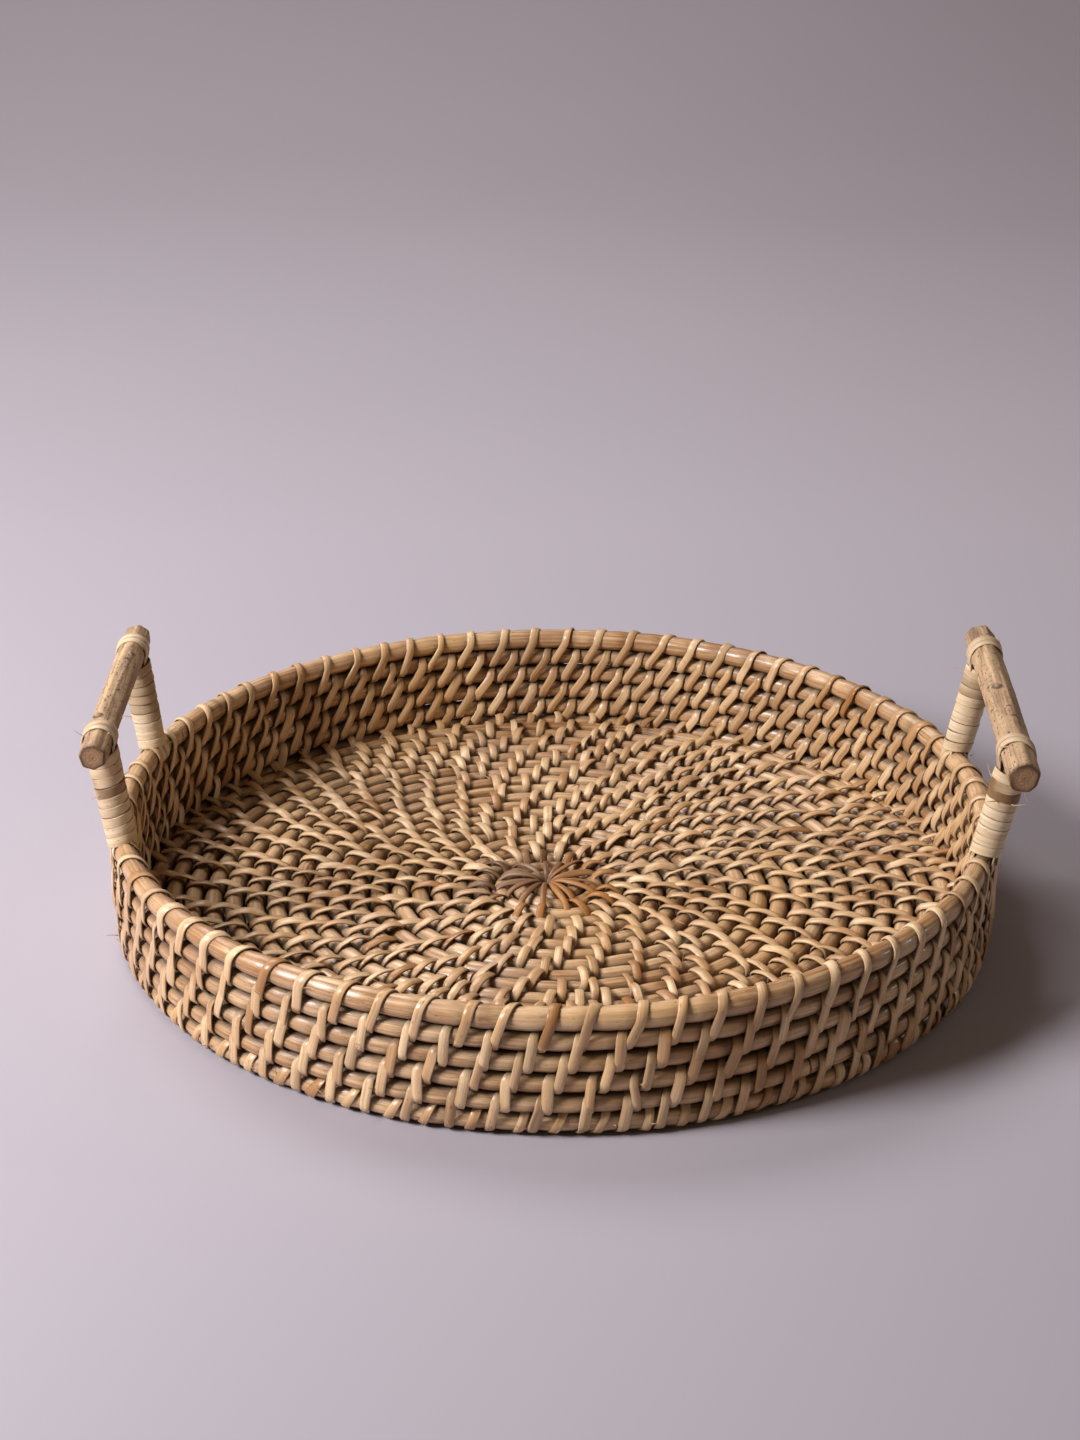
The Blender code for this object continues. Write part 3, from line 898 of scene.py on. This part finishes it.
def build_star():
    """The dark strips that bind the spiral's start, and a ring of short ones round them. They are brown
    at the back and the left, and orange towards ORANGE_HEADING."""
    random = random_for("star")
    weave = Weave()
    for arm in random.permutation(STAR_ARMS):
        heading = (arm + random.normal(0, 0.16)) * math.tau / STAR_ARMS
        towards = math.cos(heading - ORANGE_HEADING)
        stained = orange_share(0.2, 0.6, towards, random)
        reach = (25.5 + 1.5 * towards + random.normal(0, 1.8)) * MM
        top = random.uniform(1.4, 3.8) * MM
        star_strip(weave, heading, 1.2 * MM, reach, top, random.uniform(2.8, 4.0) * MM, stained, random)
    for index in range(SHORT_STRIPS):
        heading = (index + 0.5 + random.normal(0, 0.12)) * math.tau / SHORT_STRIPS
        start = (21.5 + random.normal(0, 1.0)) * MM
        length = random.uniform(12.5, 15.5) * MM
        stained = orange_share(0.45, 0.5, math.cos(heading - ORANGE_HEADING), random)
        star_strip(weave, heading, start, start + length, 1.9 * MM, 4.0 * MM, stained, random)
    for arm in range(STAR_ARMS):
        underside_strip(weave, (arm + 0.5 + random.normal(0, 0.12)) * math.tau / STAR_ARMS, random)
    weave.make("star_strips", "star_cane", ["centre_star"])


# ---------------------------------------------------------------- the handles


class Post:
    """A handle's post: a line from the rim rod's centre (the foot) up to the bar's centre (the top).
    Across the line, the post's sides turn from square with the rim rod to square with the bar."""

    def __init__(self, side, end):
        self.name = f"{side}_{end}"
        stick = f"{self.name}_post_stick"
        centre, size = middle(stick), extent(stick)
        self.stick_radius = size.y / 2
        outwards = 1 if side == "right" else -1
        self.up = unit(np.array([outwards * (size.x - size.y), 0, size.z]))
        bar = f"{side}_handle_bar"
        self.bar_radius = extent(bar).z / 2
        self.foot = np.array(centre) + self.up * (RIM_Z - centre.z) / self.up[2]
        self.top = np.array(centre) + self.up * (middle(bar).z - centre.z) / self.up[2]
        self.length = np.linalg.norm(self.top - self.foot)
        self.rim_direction = unit(np.cross(UP, self.foot)) * outwards
        self.bar_direction = None  # set by make_posts

    def place(self, across, along, height):
        """World places from arrays of distances across the bar, along it and up the post."""
        share = np.clip(height / self.length, 0, 1)[:, None]
        share = share * share * (3 - 2 * share)
        lengthwise = self.rim_direction * (1 - share) + self.bar_direction * share
        lengthwise = unit(lengthwise - (lengthwise @ self.up)[:, None] * self.up)
        sideways = np.cross(lengthwise, self.up)
        on_line = self.foot + self.up * height[:, None]
        return on_line + sideways * across[:, None] + lengthwise * along[:, None]


def make_posts():
    """The four posts by name, each with the direction of its own bar."""
    posts = {}
    for side in ("left", "right"):
        front, back = Post(side, "front"), Post(side, "back")
        front.bar_direction = back.bar_direction = unit(back.top - front.top)
        posts[front.name], posts[back.name] = front, back
    return posts


POSTS = make_posts()

BAR_SECTIONS, BAR_SIDES, BAR_FACETS, BAR_KNOTS = 200, 64, 7, 12
BAR_TRIM = 0.4 * MM  # off each end, for the sawn ends' bulge
BAR_BEND = 0.7 * MM
FACET_BLEND = 55  # the higher, the sharper the edges between facets
# Along each bar, from the front: where the ridge on its upper side starts, with a bud, and ends.
RIDGES = {"left": (0.22, 0.88), "right": (0.52, 0.92)}
RIDGE_HEADING = math.radians(105)
RIDGE_DRIFT = 0.25  # how far it winds round the bar from end to end
# A sawn end is a few rings that shrink to the middle: their sizes, and how dirty each is.
CAP_SIZES = np.array([0.93, 0.8, 0.6, 0.4, 0.2, 0.06])
CAP_DIRT = np.array([0.9, 0.45, 0.1, 0, 0.05, 0.3])
CAP_STEP = 0.12 * MM


def knife_facets(random, share, around):
    """A bar's radius with soft facets cut along it, as a share of the full radius."""
    headings = (np.arange(BAR_FACETS) + random.uniform(-0.25, 0.25, BAR_FACETS)) * math.tau / BAR_FACETS
    solid = np.full((len(share), len(around)), 1.02)
    for heading in headings:
        depth = 0.935 + Wander(random, 0.025, (1, 2, 3))(share * 4)
        wander = heading + Wander(random, 0.10, (1, 2))(share * 3)
        cut = depth[:, None] / np.maximum(np.cos(around - wander[:, None]), 0.3)
        smooth_least = np.exp(-FACET_BLEND * solid) + np.exp(-FACET_BLEND * cut)
        solid = -np.log(smooth_least) / FACET_BLEND
    return solid + Wander(random, 0.010, (5, 11, 17, 29))(share * 6)[:, None]


def bar_features(random, share, around, length, radius, ridge_from, ridge_to):
    """How far the knots, the ridge and its bud stand out, how dark they make the wood, and where the
    ridge is."""

    def turn_from(heading):
        return np.angle(np.exp(1j * (around - heading)))

    def apart_from(at, heading):
        return np.hypot((share - at)[:, None] * length, turn_from(heading) * radius)

    relief = dark = 0
    for _ in range(BAR_KNOTS):
        apart = apart_from(random.uniform(0.08, 0.92), random.uniform(0, math.tau))
        size = random.uniform(0.8, 1.3) * MM
        relief = relief + 0.05 * hump(apart, 2.4 * size)
        dark = np.maximum(dark, 1.2 * hump(apart, size))
    from_ridge = turn_from(RIDGE_HEADING + RIDGE_DRIFT * (0.5 - share[:, None]))
    along_ridge = (np.clip((share - ridge_from) * 25, 0, 1) * np.clip((ridge_to - share) * 12, 0, 1))[:, None]
    ridge = hump(from_ridge, 0.14) * along_ridge
    beside_ridge = 0.55 * hump(from_ridge + 0.3, 0.1) * along_ridge
    bud = apart_from(ridge_from, RIDGE_HEADING + RIDGE_DRIFT * (0.5 - ridge_from))
    relief = relief + 0.09 * ridge + 0.20 * hump(bud, 1.5 * MM)
    dark = np.maximum(np.maximum(dark, hump(bud - 1.9 * MM, 0.7 * MM)), beside_ridge)
    return relief, np.clip(dark, 0, 1), ridge


def build_bar(side):
    """A peeled pole with soft knife facets, knots and rough sawn ends."""
    node = f"{side}_handle_bar"
    random = random_for(node)
    front = POSTS[f"{side}_front"]
    direction = front.bar_direction
    low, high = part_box(node)
    first = (low.y + BAR_TRIM - front.top[1]) / direction[1]
    last = (high.y - BAR_TRIM - front.top[1]) / direction[1]
    along = np.linspace(first, last, BAR_SECTIONS)
    length = last - first
    share = (along - first) / length
    around = even_angles(BAR_SIDES)
    solid = knife_facets(random, share, around)
    relief, dark, ridge = bar_features(random, share, around, length, front.bar_radius, *RIDGES[side])
    from_end = np.minimum(along - first, last - along)
    radii = front.bar_radius * (solid + relief) * (1 - 0.09 * np.exp(-from_end / (0.7 * MM)))[:, None]
    outline = round_outline(radii, around)
    light = (0.5 + Wander(random, 0.12, (1, 2, 4, 7))(share * 5))[:, None] + 0.5 * ridge
    tone = tones(light, np.maximum(dark, 0.75 * np.exp(-from_end / (0.9 * MM))[:, None]), 0.0)

    bulge = CAP_STEP * (1 + np.abs(random.normal(0, 1, (2, len(CAP_SIZES)))))
    cap_dirt = CAP_DIRT[:, None] * (1 + Wander(random, 0.5, (1, 2, 3))(around))
    cap_tone = tones(0.5, cap_dirt, 1.0)
    sizes = CAP_SIZES[:, None, None]
    outline = np.concatenate([(outline[0] * sizes)[::-1], outline, outline[-1] * sizes])
    tone = np.concatenate([cap_tone[::-1], tone, cap_tone])
    along = np.concatenate([(first - bulge[0])[::-1], along, last + bulge[1]])

    bend = BAR_BEND * np.sin(math.pi * np.clip((along - first) / length, 0, 1))
    centres = front.top + along[:, None] * direction + bend[:, None] * UP
    sideways = unit(np.cross(direction, UP))
    side_directions = np.broadcast_to(sideways, centres.shape)
    ups = np.broadcast_to(np.cross(sideways, direction), centres.shape)
    weave = Weave()
    weave.sweep(centres, side_directions, ups, outline, grain_of(along, outline), tone)
    weave.make(f"{side}_bar", "bar_wood", [node], sharp_angle=42)


def build_stick(post):
    """The short rod inside a post, wider where it meets the rim rod and the bar."""
    start, end = RIM_ROD - 0.2 * MM, post.length - post.bar_radius - 0.3 * MM
    heights = np.linspace(start, end, 16)
    zeros, ones = np.zeros_like(heights), np.ones_like(heights)
    centres = post.place(zeros, zeros, heights)
    flare = np.interp(heights, [start, start + 4 * MM, end - 5 * MM, end], [1.3, 1.0, 1.0, 1.4])
    outline = round_outline(post.stick_radius * flare[:, None], even_angles(ROD_SIDES))
    sideways = unit(post.place(ones, zeros, heights) - centres)
    lengthwise = unit(post.place(zeros, ones, heights) - centres)
    # Made dark all over: painted shade inside the post.
    tone = tones(np.full(outline.shape[:2], 0.35), 0.6, 0.0)
    weave = Weave()
    weave.sweep(centres, sideways, lengthwise, outline, grain_of(heights, outline), tone)
    weave.make(f"{post.name}_stick", "rod_cane", [f"{post.name}_post_stick"])


STRAP_OFFSET = 2.25 * MM  # from a post's line to the middle of each band


def strap_path(post):
    """(across, height) places of a loop under the rim rod, up both sides of the stick and over the bar."""
    rim_reach = RIM_ROD + 0.25 * MM
    bar_reach = post.bar_radius + 0.15 * MM
    waist = post.stick_radius + 0.5 * MM
    up_rim = np.radians(np.linspace(-90, 35, 9))
    over_bar = np.radians(np.linspace(-36, 90, 10))
    right = [(rim_reach * math.cos(a), rim_reach * math.sin(a)) for a in up_rim]
    right += [(waist, 9.5 * MM), (waist, 20 * MM), (waist, post.length - post.bar_radius - 5 * MM)]
    right += [(bar_reach * math.cos(a), post.length + bar_reach * math.sin(a)) for a in over_bar]
    left = [(-across, height) for across, height in right[-2::-1]]
    return rounded(right + left, 2)


def build_strap(post):
    """Two bands, side by side, that hold the bar down to the rim rod. They narrow under the wrapping."""
    random = random_for(f"{post.name} strap")
    path = strap_path(post)
    across, height = path.T
    count = len(path)
    slope = unit(np.gradient(path, axis=0))
    wrapped = [5 * MM, 11 * MM, post.length - 13 * MM, post.length - 6 * MM]
    bound = np.interp(height, wrapped, [0, 1, 1, 0])
    slant = random.choice([-1, 1]) * random.uniform(0.8, 1.5) * MM
    weave = Weave()
    for index, offset in enumerate((-STRAP_OFFSET, STRAP_OFFSET)):
        along = offset * (1 - 0.5 * bound) + slant * across / post.bar_radius * (1 - bound)
        along = along + Wander(random, 0.25 * MM, (1, 2))(np.linspace(0, math.tau, count))
        lift = (0.05 + 0.25 * index) * MM
        centres = post.place(across + slope[:, 1] * lift, along, height - slope[:, 0] * lift)
        away = post.place(across + slope[:, 1] * MM, along, height - slope[:, 0] * MM)
        normals = unit(away - post.place(across, along, height))
        widths = (random.uniform(4.0, 4.6) * MM) * (1 - 0.4 * bound)
        # Darker under the wrapping and below the rim rod: painted shade.
        depth = 0.5 * bound + 0.4 * np.clip(-height / RIM_ROD, 0, 1)
        tone = tones(random.normal(0.55, 0.12), depth, 0.1 + 0.1 * index)
        roll = np.full(count, random.normal(0, math.radians(3)))
        strip_sweep(weave, centres, normals, widths, 0.85 * MM, roll, tone, random)
    weave.make(f"{post.name}_strap", "binding_cane", [f"{post.name}_post_strap"])


class Wrapping(NamedTuple):
    """A post's wrapping: where its stained band is, as shares of its height, how strong the stain is,
    and how much its turns slope down to the right."""

    stained_from: float
    stained_to: float
    stain: float
    slope: float


WRAPPINGS = {
    "left_front": Wrapping(0.56, 0.69, 0.8, -0.05),
    "right_front": Wrapping(0.66, 0.80, 0.95, 0.16),
    "left_back": Wrapping(0.40, 1.0, 0.6, 0.14),
    "right_back": Wrapping(0.62, 0.86, 0.5, 0.14),
}
WRAP_ACROSS, WRAP_ALONG = 6.0 * MM, 5.6 * MM  # the wrapping's radii, across the bar and along it
WRAP_SPREAD = 0.8 * MM  # how much wider it is just below the bar
WRAP_STEPS = 40  # in each turn
STAIN_EDGE = 0.02  # how soft the stained band's edges are, as a share of the height
PLAIN_STAIN = 0.08


def wrap_limits(post):
    return RIM_ROD - 2.4 * MM, post.length - post.bar_radius + 2.0 * MM


def build_wrap(post):
    """A flat strip wound up the post, each turn against the last."""
    random = random_for(f"{post.name} wrap")
    bottom, top = wrap_limits(post)
    width = random.uniform(4.3, 4.8) * MM
    turns = (top - bottom - width) / (width * 1.01)
    count = int(turns * WRAP_STEPS)
    angle = np.linspace(0, turns * math.tau, count) + random.uniform(0, math.tau)
    turn = np.arange(count) / WRAP_STEPS

    def each_turn(middle_value, spread):
        """A random value for each turn, eased from one to the next."""
        stations = np.arange(int(turns) + 3)
        return np.interp(turn, stations, random.normal(middle_value, spread, len(stations)))

    uneven = each_turn(0, 0.16 * MM)
    snug = each_turn(0, 0.13 * MM)
    height = bottom + width / 2 + np.linspace(0, top - bottom - width, count) + uneven
    share = (height - bottom) / (top - bottom)
    across = (WRAP_ACROSS + snug + WRAP_SPREAD * share**3) * np.cos(angle)
    along = (WRAP_ALONG + snug) * np.sin(angle)
    wrapping = WRAPPINGS[post.name]
    # The ends saddle over the bar and the rim rod; between them the turns slope.
    saddle = 0.9 * MM * np.clip(3 * share - 2, 0, 1) - 0.5 * MM * np.clip(1 - 3 * share, 0, 1)
    height = height + saddle * np.cos(2 * angle) - wrapping.slope * across * np.sin(math.pi * share)
    centres = post.place(across, along, height)
    normals = unit(post.place(across * 2, along * 2, height) - centres)
    band = np.clip((share - wrapping.stained_from) / STAIN_EDGE, 0, 1)
    band = band * np.clip((wrapping.stained_to - share) / STAIN_EDGE, 0, 1)
    stained = PLAIN_STAIN + (wrapping.stain - PLAIN_STAIN) * band
    tone = tones(each_turn(0.6, 0.16), 0.0, stained)
    roll = each_turn(0, math.radians(4))
    widths = np.full(count, width)
    weave = Weave()
    strip_sweep(weave, centres, normals, widths, 0.8 * MM, roll, tone, random, RIBBON_SECTION)
    weave.make(f"{post.name}_wrap", "binding_cane", [f"{post.name}_post_wrap"])


# ---------------------------------------------------------------- loose fibres

WALL_FIBRES, FLOOR_FIBRES = 64, 34
FRAYED_SIDE = (math.pi, 1.75 * math.pi)  # the part of the base, at the front left, that is frayed
LOWEST_FIBRE = 1 * MM  # above the table


def fibre(weave, start, heading, length, random):
    """A torn fibre: thin, curled and tapered."""
    share = np.linspace(0, 1, 8)[:, None]
    curl = random.normal(0, 0.45, 3)
    centres = start + length * (unit(heading) * share + curl * share**2)
    centres[:, 2] = np.maximum(centres[:, 2], LOWEST_FIBRE)
    tangents = unit(np.gradient(centres, axis=0))
    side = unit(np.cross(tangents, UP + 0.01))  # the 0.01 is for a fibre that stands straight up
    radius = random.uniform(0.12, 0.24) * MM * (1 - 0.85 * share)
    outline = round_outline(radius, even_angles(5)) * (1, 1.6)
    light, stained = random.uniform(0.3, 0.9), random.uniform(0, 0.8)
    tone = tones(np.full(outline.shape[:2], light), 0.0, stained)
    grain = grain_of(share[:, 0] * length, outline)
    weave.sweep(centres, side, np.cross(tangents, side), outline, grain, tone)


def post_fibres(weave, post, random):
    """Frayed bits at the edges of the stained band, at the wrapping's foot and on the strap's top."""
    bottom, top = wrap_limits(post)
    edges = WRAPPINGS[post.name][:2] * 2
    heights = [bottom + (top - bottom) * edge for edge in edges] + [bottom, bottom + 1 * MM]
    for height in heights + [post.length + post.bar_radius * 0.6] * 3:
        on_strap = height > post.length
        round_post = random.uniform(0, math.tau)
        reach = post.bar_radius + 1.0 * MM if on_strap else WRAP_ACROSS + 0.8 * MM
        across, along = reach * math.cos(round_post), reach * math.sin(round_post)
        if on_strap:
            across, along = across * 0.75, random.choice([-1, 1]) * (STRAP_OFFSET + 2.35 * MM)
        outwards = np.array([1, 1.3])
        start, beyond = post.place(across * outwards, along * outwards, np.full(2, height))
        heading = unit(beyond - start) + random.normal(0, 0.5, 3)
        fibre(weave, start, heading, random.uniform(2.5, 6.5) * MM, random)


def wall_fibre(weave, lanes, at_base, random):
    lane = lanes[0] if at_base else lanes[random.integers(1, len(lanes))]
    angle = random.uniform(*FRAYED_SIDE) if at_base else random.uniform(0, math.tau)
    outside = 1 if at_base else random.choice([-1, 1])
    start = lane_points(lane, np.array([angle]))[0] + outward(angle) * outside * (lane.rod + 0.3 * MM)
    heading = outward(angle) * outside * 0.4 + random.normal(0, 0.7, 3)
    if at_base:
        heading[2] = abs(heading[2])
    fibre(weave, start, heading, random.uniform(3, 6) * MM, random)


def build_fibres():
    random = random_for("fibres")
    weave = Weave()
    for post in POSTS.values():
        post_fibres(weave, post, random)
    lanes = wall_lanes()
    for index in range(WALL_FIBRES):
        wall_fibre(weave, lanes, index % 2 == 0, random)
    floor = SpiralLane()
    for _ in range(FLOOR_FIBRES):
        angle = random.uniform(3, LAST_TURN - 1) * math.tau
        start = lane_points(floor, np.array([angle]))[0] + UP * (FLOOR_ROD + 0.2 * MM)
        heading = UP * 0.25 + random.normal(0, 0.8, 3) * (1, 1, 0.2)
        fibre(weave, start, heading, random.uniform(3, 8) * MM, random)
    weave.make("loose_fibres", "stitch_cane", [])


build_floor_rods()
build_floor_stitches()
build_wall()
build_star()
for bar_side in ("left", "right"):
    build_bar(bar_side)
for each_post in POSTS.values():
    build_stick(each_post)
    build_strap(each_post)
    build_wrap(each_post)
build_fibres()


# ---------------------------------------------------------------- stage, camera and light

CAMERA_DISTANCE = 1.18
CAMERA_PITCH = math.radians(23.94)
CAMERA_ROLL = math.radians(0.27)
CAMERA_LENS = 65.46
LOOK_AT = Vector((-6.8 * MM, 0, 92.7 * MM))


def build_camera():
    data = bpy.data.cameras.new("camera")
    data.lens = CAMERA_LENS
    camera = add_object("camera", data)
    tilt = Matrix.Rotation(math.pi / 2 - CAMERA_PITCH, 4, "X")
    roll = Matrix.Rotation(CAMERA_ROLL, 4, "Z")
    away = Matrix.Translation((0, 0, CAMERA_DISTANCE))
    camera.matrix_world = Matrix.Translation(LOOK_AT) @ tilt @ roll @ away
    bpy.context.scene.camera = camera


def area_light(name, place, size, watts, colour):
    data = bpy.data.lights.new(name, "AREA")
    data.shape = "DISK"
    data.size = size
    data.energy = watts
    data.color = colour
    lamp = add_object(name, data)
    lamp.location = place
    lamp.rotation_euler = (-Vector(place)).to_track_quat("-Z", "Y").to_euler()


def build_backdrop():
    """A pale sheet that lies flat and sweeps up behind the tray."""
    half_width, front, bend, turn_radius, top = 5.0, -3.0, 1.4, 1.6, 5.0
    graph = Graph("backdrop")
    place = graph.place()
    cloth = graph.noise(place, scale=1.4, detail=2)
    colour = graph.mix(cloth, linear("b3adb8"), "bdb7c1")
    _, depth, _ = graph.parts(place)
    near_shade = graph.remap(depth, -0.5, 0.5, 0.28, 0.0)
    material = graph.finish(Base_Color=graph.mix(near_shade, colour, "000000"), Roughness=0.85)

    angles = np.linspace(0, math.pi / 2, 13)
    curve = [(front, 0.0)]
    curve += [(bend + turn_radius * math.sin(a), turn_radius * (1 - math.cos(a))) for a in angles]
    curve.append((bend + turn_radius, top))
    points = [(x, y, z) for y, z in curve for x in (-half_width, half_width)]
    faces = [(2 * i, 2 * i + 1, 2 * i + 3, 2 * i + 2) for i in range(len(curve) - 1)]
    add_mesh("backdrop", points, faces, material)


FILL = ("f6d4ae", 0.125)  # the faint warm light from all round: its colour and strength
BEYOND = ("423a39", 1.0)  # what the camera sees past the backdrop, like the table's far end


def build_world():
    """The warm fill light, which the camera doesn't see: it sees the plain shade beyond instead."""
    world = bpy.data.worlds.new("studio")
    world.use_nodes = True
    tree = world.node_tree
    mixed = tree.nodes.new("ShaderNodeMixShader")
    for socket, (colour, strength) in ((1, FILL), (2, BEYOND)):
        background = tree.nodes.new("ShaderNodeBackground")
        background.inputs["Color"].default_value = linear(colour)
        background.inputs["Strength"].default_value = strength
        tree.links.new(background.outputs["Background"], mixed.inputs[socket])
    seen = tree.nodes.new("ShaderNodeLightPath").outputs["Is Camera Ray"]
    tree.links.new(seen, mixed.inputs["Fac"])
    tree.links.new(mixed.outputs["Shader"], tree.nodes["World Output"].inputs["Surface"])
    bpy.context.scene.world = world


build_camera()
build_backdrop()
build_world()
area_light("window", place=(-1.05, -0.5, 0.85), size=0.5, watts=27, colour=(1.0, 0.97, 0.98))
area_light("ceiling", place=(-0.8, 1.2, 1.8), size=1.2, watts=25, colour=(1.0, 0.96, 0.95))
area_light("glint", place=(1.5, 0.1, 0.6), size=0.03, watts=1.4, colour=(1.0, 0.98, 0.96))
bpy.context.scene.view_settings.view_transform = "Standard"
